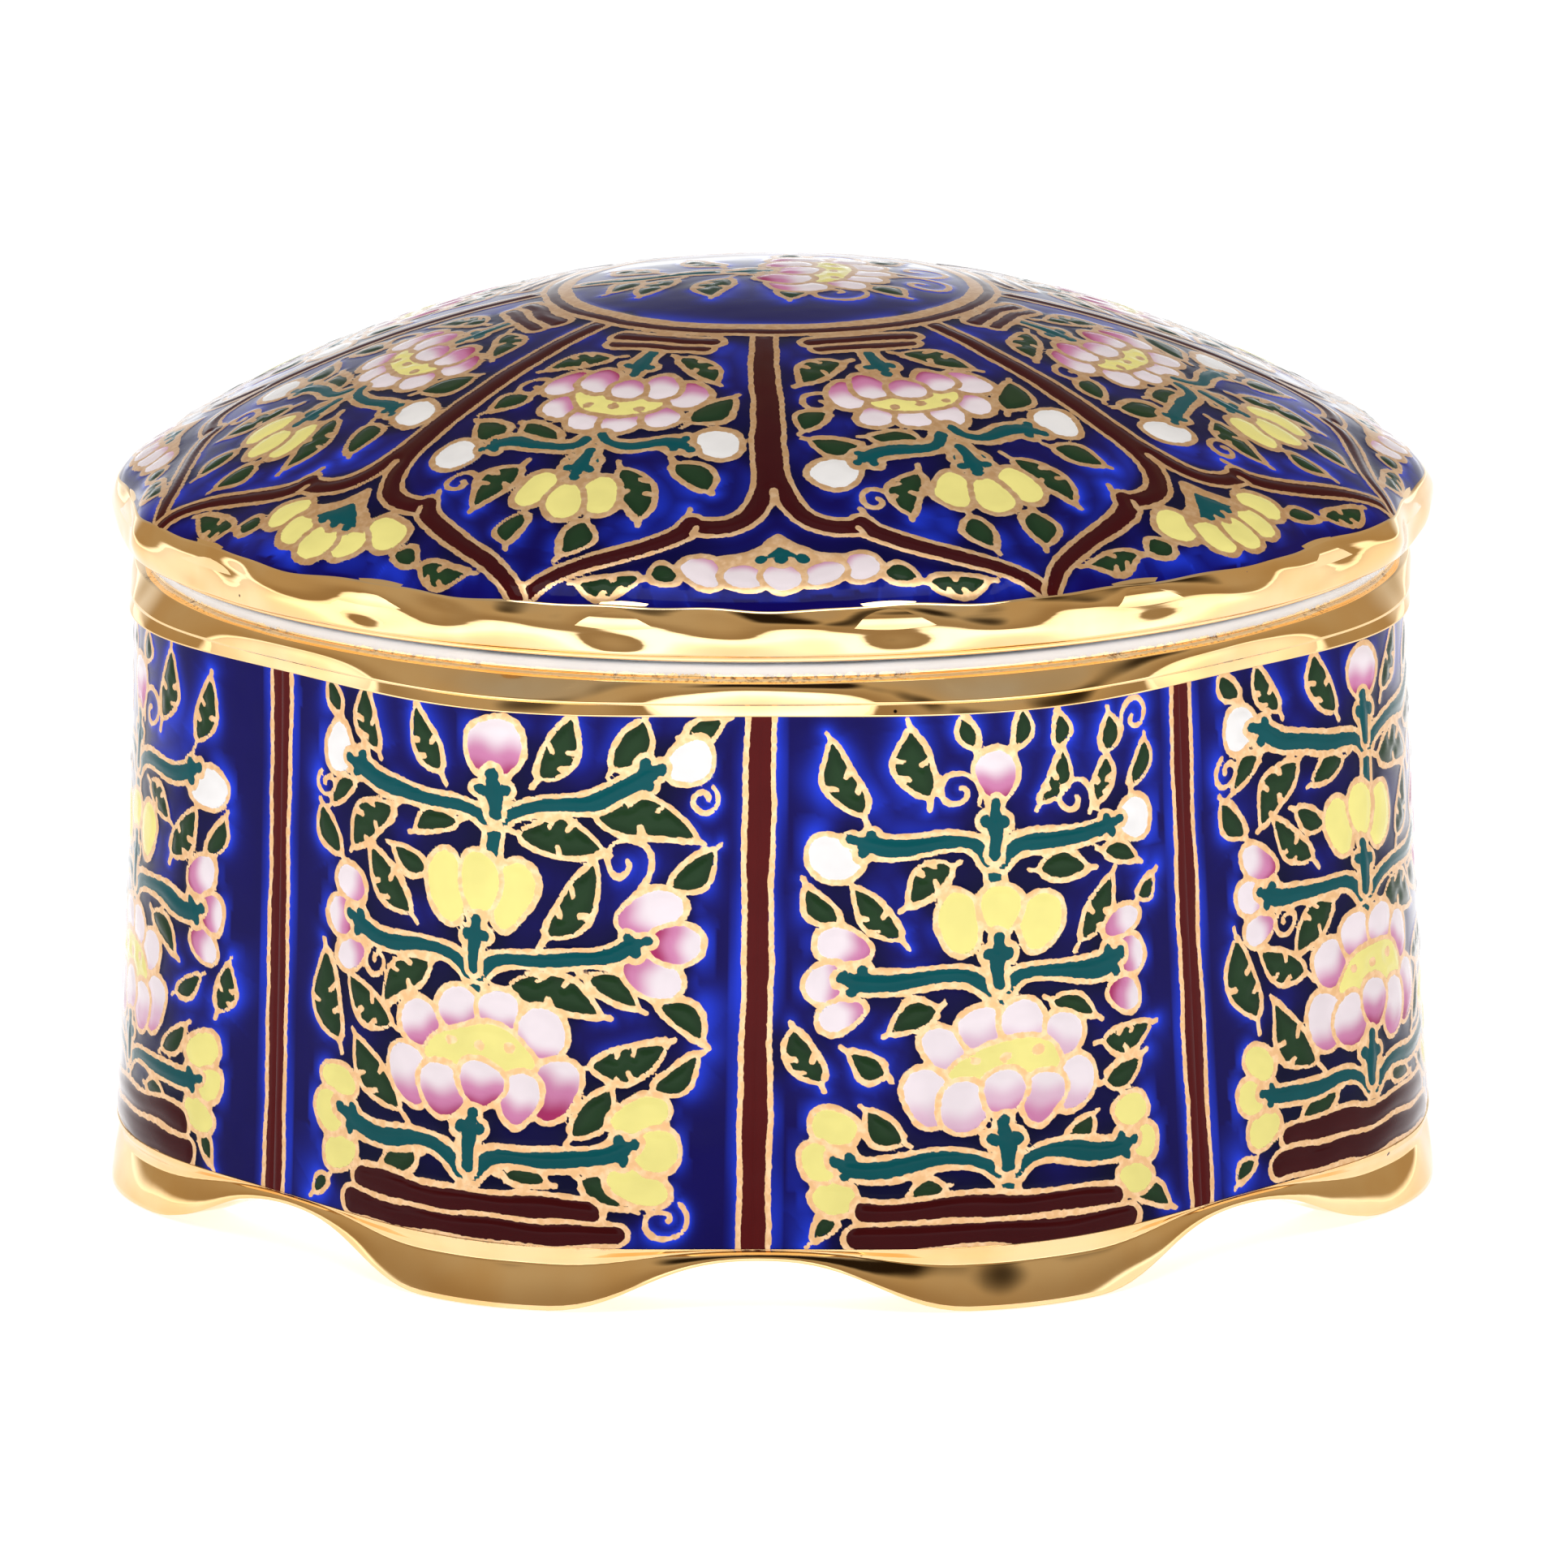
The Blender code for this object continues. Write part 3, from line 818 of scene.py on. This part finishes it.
def turned_body(name, profile, gilding, material, rule=None):
    """A whole turned piece, drawn out of round by a rule. gilding gives how far outside the gilt a profile's
    points lie."""
    profile = spaced(profile, BODY_GAP)
    azimuth = np.arange(BODY_SEGMENTS) * tau / BODY_SEGMENTS
    radius, turn = np.meshgrid(profile[:, 0], azimuth, indexing="ij")
    height = np.broadcast_to(profile[:, 1:2], radius.shape)
    if rule:
        radius, height = rule(radius, height, turn)
    points = placed(radius, height, turn).reshape(-1, 3)
    gilt = np.repeat(gilding(profile), BODY_SEGMENTS)
    faces = grid_faces(len(profile), BODY_SEGMENTS, closed=True)
    return mesh_object(name, points, faces, {"gilt": gilt}, material)


def box_gilding(profile):
    """Gilt covers the band under the neck, and the feet down to where they stand."""
    radius, height = profile.T
    band = np.maximum(band_bottom - 0.4 - height, height - band_top - 0.4)
    foot = np.maximum(height - FOOT_HEIGHT - 0.3, foot_radius - FOOT_WIDTH + 1.2 - radius)
    return np.where(radius < mouth_radius, 3.0, np.minimum(band, foot))


def lid_gilding(profile):
    """Gilt covers the lip."""
    radius, height = profile.T
    return np.maximum(neck_radius + 0.4 - radius, lip_bottom - 0.2 - height)


def lid_section(arc):
    """Radius and height of the lid's outside by the way out from its top, and how long the way is."""
    size = dome_sphere - RIM_ROLL
    widest = rim_radius - RIM_INSET
    middle = widest - RIM_ROLL
    height = dome_centre + sqrt(size**2 - middle**2)
    start = acos(middle / size)
    rim = rounded([*roll(widest, height, RIM_ROLL, degrees(start), -14, 20),
                   (widest - 0.4, lip_top - 1.4, 0.3), (lip_radius + 0.2, lip_top - 1.5, 0.1),
                   (lip_radius + 0.1, lip_bottom + LIP_HEIGHT * 0.2)])
    rim = spaced(rim, 0.2)
    meets = dome_sphere * (pi / 2 - start)
    along = meets + np.insert(np.cumsum(np.hypot(*np.diff(rim, axis=0).T)), 0, 0)
    on_dome = arc < meets
    radius = np.where(on_dome, dome_sphere * np.sin(arc / dome_sphere), np.interp(arc, along, rim[:, 0]))
    height = np.where(on_dome, dome_centre + dome_sphere * np.cos(arc / dome_sphere),
                      np.interp(arc, along, rim[:, 1]))
    return radius, height, along[-1]


def disc_grid(cells):
    """An even grid over a disc of radius 1: a square's rings of cells drawn out round."""
    side = np.linspace(-1, 1, cells + 1)
    u, v = np.meshgrid(side, side)
    flat = abs(u) >= abs(v)
    radius = np.where(flat, u, v)
    safe = np.where(radius == 0, 1, radius)
    angle = np.where(flat, pi / 4 * v / safe, pi / 2 - pi / 4 * u / safe)
    return radius * np.cos(angle), radius * np.sin(angle)


def lid_rule(arc, azimuth):
    """Radius and height of the lid's outside, with the rim drawn into scallops."""
    radius, height, length = lid_section(arc)
    weight = smooth(DOME_RADIUS - SCALLOP_REACH, DOME_RADIUS, radius) * smooth(length, length - 3, arc)
    return radius + SCALLOP_DEPTH * weight * (scallop_share(azimuth) - 0.5), height


def lid_painting(material):
    """The painted dome, in four pieces that meet along straight lines."""
    x, y = disc_grid(LID_CELLS)
    shape = x.shape
    x, y = x.ravel() * (PAINT_EDGE + HEM), y.ravel() * (PAINT_EDGE + HEM)
    art = paint_lid(x, y, seed=20)
    fire_ground(art, shape)
    azimuth = np.arctan2(x, y)
    points = placed(*lid_rule(np.hypot(x, y), azimuth), azimuth)
    points += normals_of(points, shape) * (relief(art) - SKIN_DEPTH)[:, None] * MM
    grids = [a.reshape(*shape, -1) for a in (points, art.colour, art.gold)]
    half = LID_CELLS // 2
    faces = grid_faces(half + 1, half + 1)
    share = np.linspace(0, 1, half + 1)
    places = np.stack(np.meshgrid(share, share), -1).reshape(-1, 2)
    corners = [(row, column) for row in (0, half) for column in (0, half)]
    for number, (row, column) in enumerate(corners, 1):
        cut = [g[row:row + half + 1, column:column + half + 1].reshape(-1, g.shape[-1]) for g in grids]
        fields = {"paint": cut[1], "gold": cut[2].ravel()}
        mesh_object(f"lid_painting_{number}", cut[0], faces, fields, material, places)


def lid_rim(material):
    """The gilt ring that covers the painting's edge, rolls over the rim and turns in above the lip."""
    length = lid_section(np.array([0.0]))[2]
    columns, rows = 3 * BODY_SEGMENTS, 42
    azimuth, share = np.meshgrid(np.arange(columns) * tau / columns, np.linspace(0, 1, rows))
    edge = PAINT_EDGE + 0.1 * np.sin(azimuth * 23) + 0.07 * np.sin(azimuth * 41 + 1)
    radius, height = lid_rule(edge + (length - edge) * share, azimuth)
    waves = (0.7 * np.sin(azimuth * 16 + 3 * share) + np.sin(azimuth * 29 - 4 * share)
             + 0.3 * np.sin(azimuth * 47 + 2))
    swell = RIM_SWELL * smooth(0, 0.3, share) * smooth(0.85, 0.4, share) * waves
    points = placed(radius + swell, height, azimuth)
    over = 0.09 * smooth(0, 0.02, share) * smooth(1, 0.9, share)
    closed = np.concatenate([points, points[:, :1]], 1)
    outward = normals_of(closed.reshape(-1, 3), closed.shape[:2]).reshape(closed.shape)[:, :-1]
    points += outward * (over - SKIN_DEPTH)[..., None] * MM
    fields = {"gilt": np.full(rows * columns, -FAR)}
    faces = grid_faces(rows, columns, closed=True)
    mesh_object("lid_rim", points.reshape(-1, 3), faces, fields, material)


# Materials.

GLAZE_SPECULAR = 0.07
GILT_DEEP, GILT_PALE = (0.9, 0.59, 0.26), (0.94, 0.68, 0.36)
GILT_WORN, GILT_PIT = (0.22, 0.12, 0.06), (0.02, 0.01, 0.006)
LINE_DEEP, LINE_PALE = (0.74, 0.45, 0.22), (0.87, 0.6, 0.35)
GLAZE_COOL, GLAZE_PALE = (0.84, 0.86, 0.89), (0.9, 0.91, 0.93)


def nodes_of(name):
    """A new material, its node tree and its shader."""
    material = bpy.data.materials.new(name)
    material.use_nodes = True
    tree = material.node_tree
    return material, tree, tree.nodes["Principled BSDF"]


def feed(tree, node, inputs):
    """Gives a node's inputs, by name or number, their values or links."""
    for key, value in inputs.items():
        socket = node.inputs[key]
        if isinstance(value, bpy.types.NodeSocket):
            tree.links.new(value, socket)
        else:
            socket.default_value = (*value, 1.0) if socket.type == "RGBA" else value


def add(tree, kind, inputs=None, **settings):
    """A shader node of that kind, with its settings and what its inputs get."""
    node = tree.nodes.new("ShaderNode" + kind)
    for key, value in settings.items():
        setattr(node, key, value)
    feed(tree, node, inputs or {})
    return node


def attribute(tree, name, output):
    """What a mesh keeps on its points under that name."""
    return add(tree, "Attribute", attribute_name=name).outputs[output]


def own_place(tree):
    """Places on the object itself, in metres."""
    return add(tree, "TexCoord").outputs["Object"]


def noise(tree, size, detail=3.0, roughness=0.5):
    """Cloudy noise whose features are about size millimetres across, from 0 to 1."""
    inputs = {"Vector": own_place(tree), "Scale": 1 / (size * MM), "Detail": detail, "Roughness": roughness}
    return add(tree, "TexNoise", inputs).outputs["Fac"]


def ramp(tree, value, low, high, to_low=0.0, to_high=1.0):
    """A value eased from to_low, where it is low, to to_high, where it is high."""
    inputs = {"Value": value, "From Min": low, "From Max": high, "To Min": to_low, "To Max": to_high}
    return add(tree, "MapRange", inputs, interpolation_type="SMOOTHSTEP").outputs["Result"]


def reckon(tree, operation, a, b):
    """The sum, product or quotient of two values."""
    return add(tree, "Math", {0: a, 1: b}, operation=operation).outputs[0]


def mixed(tree, share, a, b):
    """A colour from a, where share is 0, to b, where it is 1."""
    return add(tree, "Mix", {"Factor": share, 6: a, 7: b}, data_type="RGBA").outputs[2]


def between(tree, share, a, b):
    """A value from a, where share is 0, to b, where it is 1."""
    return add(tree, "Mix", {"Factor": share, 2: a, 3: b}, data_type="FLOAT").outputs[0]


def bump(tree, height, distance):
    """The normal of a surface that rises by up to distance millimetres."""
    return add(tree, "Bump", {"Height": height, "Distance": distance * MM}).outputs["Normal"]


def gilding_nodes(tree, gilt):
    """Colour, share, roughness and normal of worn bright gilding, where the distance gilt is below 0."""
    speckle = noise(tree, 0.6, 4, 0.7)
    clouds = noise(tree, 9.0, 3)
    worn = ramp(tree, clouds, 0.42, 0.6)
    ragged = reckon(tree, "MULTIPLY", ramp(tree, speckle, 0.3, 0.7, -0.2, 0.2), worn)
    edge = reckon(tree, "ADD", gilt, ragged)
    thin = reckon(tree, "MULTIPLY", ramp(tree, edge, -0.45, 0.0), ramp(tree, speckle, 0.48, 0.6))
    colour = mixed(tree, ramp(tree, clouds, 0.35, 0.7), GILT_DEEP, GILT_PALE)
    colour = mixed(tree, reckon(tree, "MULTIPLY", thin, worn), colour, GILT_WORN)
    colour = mixed(tree, pinholes(tree), colour, GILT_PIT)
    rough = ramp(tree, clouds, 0.3, 0.7, 0.03, 0.08)
    return colour, ramp(tree, edge, 0.04, -0.04), rough, bump(tree, noise(tree, 13.0, 1), 1.0)


def pinholes(tree):
    """1 in small dark pits a few millimetres apart."""
    inputs = {"Vector": own_place(tree), "Scale": 1 / (5.5 * MM), "Randomness": 1.0}
    return ramp(tree, add(tree, "TexVoronoi", inputs).outputs["Distance"], 0.045, 0.03)


def painted_glaze(name, turned, gloss):
    """Cobalt and enamels as the points' colours give them, and matt gold where the distance gold is below 0.
    The gloss grows up to its full share from where the surface is turned that far from view."""
    material, tree, shader = nodes_of(name)
    cloud = ramp(tree, noise(tree, 4.0, 2), 0.3, 0.7, 0.96, 1.04)
    paint = add(tree, "VectorMath", {0: attribute(tree, "paint", "Color"), "Scale": cloud}, operation="SCALE")
    grain = noise(tree, 0.7, 2)
    ragged = ramp(tree, grain, 0.3, 0.7, -0.05, 0.05)
    line = ramp(tree, reckon(tree, "ADD", attribute(tree, "gold", "Fac"), ragged), 0.03, -0.03)
    gold = mixed(tree, ramp(tree, grain, 0.35, 0.7), LINE_DEEP, LINE_PALE)
    facing = add(tree, "LayerWeight", {"Blend": 0.5}).outputs["Facing"]
    feed(tree, shader, {
        "Base Color": mixed(tree, line, paint.outputs["Vector"], gold),
        "Metallic": reckon(tree, "MULTIPLY", line, 0.8),
        "Roughness": between(tree, line, 0.06, 0.36),
        "Normal": bump(tree, noise(tree, 5.0, 1), 0.1),
        "Coat Weight": ramp(tree, facing, turned, 0.97, 0.0, gloss),
        "Coat Roughness": 0.03,
        "IOR": 1.45,
        "Specular IOR Level": GLAZE_SPECULAR,
    })
    return material


def white_porcelain():
    """White glaze, and bright gilding where the distance gilt is below 0."""
    material, tree, shader = nodes_of("gilt_white_porcelain")
    white = mixed(tree, ramp(tree, noise(tree, 9.0, 2), 0.3, 0.7), GLAZE_COOL, GLAZE_PALE)
    bright, gilt, rough, wavy = gilding_nodes(tree, attribute(tree, "gilt", "Fac"))
    feed(tree, shader, {
        "Base Color": mixed(tree, gilt, white, bright),
        "Metallic": gilt,
        "Roughness": between(tree, gilt, 0.12, rough),
        "Normal": wavy,
        "IOR": 1.5,
    })
    return material


# The studio.

IMAGE = 1932
FOCAL_PIXELS = 11323.0
SENSOR = 36.0
REFERENCE_PIXEL = (952.1, 826.4)
REFERENCE = Vector((0, 0, 42.66 * MM))
DISTANCE = 831.8 * MM
DARK_PATCHES = ((4, 36, 13), (70, 36, 9), (-42, 42, 7), (32, 26, 8))
CAMERA_AZIMUTH = radians(1.5)
ELEVATION = radians(12.83)
ROLL = radians(0.37)
SOFTBOX, SOFTBOX_AIM = Vector((0.0, -0.24, 0.85)), Vector((0, 0, 0.04))
SOFTBOX_SIZE, SOFTBOX_RADIANCE = (0.7, 0.34), 3.5
FLOOR_REACH = 2.0

# The room's and the floor's colours, as radiance.
BACK, DUSK, SKY = (1.05, 1.07, 1.1), (0.4, 0.4, 0.42), (1.00, 1.00, 1.04)
FRONT_LOW, SIDE_LOW, FRONT_HIGH = (0.36, 0.27, 0.17), (0.46, 0.35, 0.21), (0.5, 0.41, 0.29)
BELOW, DARK = (1.6, 1.62, 1.65), (0.02, 0.013, 0.008)
# Close round the box the floor glows less: a painted contact shadow.
FLOOR_NEAR_SHADE, FLOOR_BEHIND, FLOOR_AHEAD = (0.58, 0.6, 0.64), (0.6, 0.62, 0.66), (1.75, 1.77, 1.83)


def make_camera():
    """The camera of the photograph: a long lens, a little above the lid."""
    tilt = Matrix.Rotation(UP - ELEVATION, 3, "X") @ Matrix.Rotation(-ROLL, 3, "Z")
    right, up, back = (Matrix.Rotation(CAMERA_AZIMUTH, 3, "Z") @ tilt).transposed()
    position = REFERENCE + back * DISTANCE
    off = ((IMAGE / 2 - REFERENCE_PIXEL[0]) / FOCAL_PIXELS, (REFERENCE_PIXEL[1] - IMAGE / 2) / FOCAL_PIXELS)
    axis_z = (back - right * off[0] - up * off[1]).normalized()
    axis_x = up.cross(axis_z).normalized()
    axis_y = axis_z.cross(axis_x)
    data = bpy.data.cameras.new("camera")
    data.sensor_width = SENSOR
    data.lens = FOCAL_PIXELS / IMAGE * SENSOR
    data.clip_start, data.clip_end = 0.05, 20
    camera = new_object("camera", data)
    turn = Matrix((axis_x, axis_y, axis_z)).transposed().to_4x4()
    camera.matrix_world = Matrix.Translation(position) @ turn
    bpy.context.scene.camera = camera


def make_softbox():
    """A flat light over the front of the object, facing its middle. Its sizes are in metres."""
    width, height = SOFTBOX_SIZE
    data = bpy.data.lights.new("top_softbox", "AREA")
    data.shape, data.size, data.size_y = "RECTANGLE", width, height
    data.energy = SOFTBOX_RADIANCE * width * height * pi
    light = new_object("top_softbox", data)
    light.location = SOFTBOX
    light.rotation_euler = (SOFTBOX - SOFTBOX_AIM).to_track_quat("Z", "Y").to_euler()


def make_room():
    """The light from all round: bright behind, dimmer overhead, and warm and dark at the front."""
    world = bpy.data.worlds.new("studio")
    bpy.context.scene.world = world
    world.use_nodes = True
    tree = world.node_tree
    place = add(tree, "TexCoord").outputs["Generated"]

    def toward(azimuth, elevation):
        """1 where a direction points that way, given in degrees, and -1 where it points away."""
        flat, turn = cos(radians(elevation)), radians(azimuth)
        target = (flat * sin(turn), -flat * cos(turn), sin(radians(elevation)))
        return add(tree, "VectorMath", {0: place, 1: target}, operation="DOT_PRODUCT").outputs["Value"]

    level = toward(0, 90)
    low = mixed(tree, ramp(tree, toward(180, 0), -0.4, 0.5), FRONT_LOW, SIDE_LOW)
    colour = mixed(tree, ramp(tree, level, 0.1, 0.5), low, FRONT_HIGH)
    colour = mixed(tree, ramp(tree, level, 0.6, 0.93), colour, DUSK)
    colour = mixed(tree, ramp(tree, level, 0.95, 0.985), colour, SKY)
    sweep = mixed(tree, ramp(tree, level, 0.05, 0.4), BACK, DUSK)
    colour = mixed(tree, ramp(tree, toward(180, 0), 0.7, 0.93), colour, sweep)
    colour = mixed(tree, ramp(tree, level, 0.0, 0.06), BELOW, colour)
    for azimuth, elevation, size in DARK_PATCHES:
        edge = cos(radians(size))
        patch = ramp(tree, toward(azimuth, elevation), edge - 0.015, edge + 0.015)
        colour = mixed(tree, patch, colour, DARK)
    feed(tree, tree.nodes["Background"], {"Color": colour})


def make_floor():
    """A pale floor that glows a little, as a light table does. Its glow is dimmer close round the box, as a
    painted contact shadow.
    """
    mesh = bpy.data.meshes.new("floor")
    corners = [(x * FLOOR_REACH, y * FLOOR_REACH, 0) for x, y in ((-1, -1), (1, -1), (1, 1), (-1, 1))]
    mesh.from_pydata(corners, [], [(0, 1, 2, 3)])
    floor = new_object("floor", mesh)
    material, tree, shader = nodes_of("pale_floor")
    place = own_place(tree)
    away = add(tree, "VectorMath", {0: place}, operation="LENGTH").outputs["Value"]
    ahead = add(tree, "VectorMath", {0: place, 1: (0, -1, 0)}, operation="DOT_PRODUCT").outputs["Value"]
    facing = ramp(tree, reckon(tree, "DIVIDE", ahead, away), -0.1, 0.7)
    far = mixed(tree, facing, FLOOR_BEHIND, FLOOR_AHEAD)
    paper = ramp(tree, noise(tree, 300.0, 0), 0.3, 0.7)
    feed(tree, shader, {
        "Base Color": mixed(tree, paper, (0.88, 0.88, 0.88), (0.9, 0.9, 0.9)),
        # The glow rises from the dim painted shadow close round the box to the far floor.
        "Emission Color": mixed(tree, ramp(tree, away, 0.08, 0.24), FLOOR_NEAR_SHADE, far),
        "Emission Strength": 1.0,
        "Roughness": 0.9,
        "Specular IOR Level": 0.1,
    })
    mesh.materials.append(material)


def make_studio():
    """The room, the floor and the light, with colours shown as they are."""
    make_room()
    make_floor()
    make_softbox()
    bpy.context.scene.view_settings.view_transform = "Standard"


def main():
    wall_glaze = painted_glaze("wall_glaze", 0.42, 1.0)
    lid_glaze = painted_glaze("lid_glaze", 0.68, 0.6)
    porcelain = white_porcelain()
    box = turned_body("box_body", box_profile(), box_gilding, porcelain, box_rule)
    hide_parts("box")
    lid = turned_body("lid_body", lid_profile(), lid_gilding, porcelain)
    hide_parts("lid")
    bars = [*FIRST_BARS[:2], *np.linspace(FIRST_BARS[2], np.add(FIRST_BARS[0], 360), 7)]
    for i in range(LOBES):
        plant, lean = ((WIDE_PLANT, -0.7), (NARROW_PLANT, 0.4))[i % 2]
        mirror = (1, 1, 1, -1, -1, 1, 1, -1)[i]
        wall_panel(i + 1, bars[i], bars[i + 1], plant, lean * mirror, mirror, wall_glaze)
    lid_painting(lid_glaze)
    lid_rim(porcelain)
    make_camera()
    make_studio()


main()
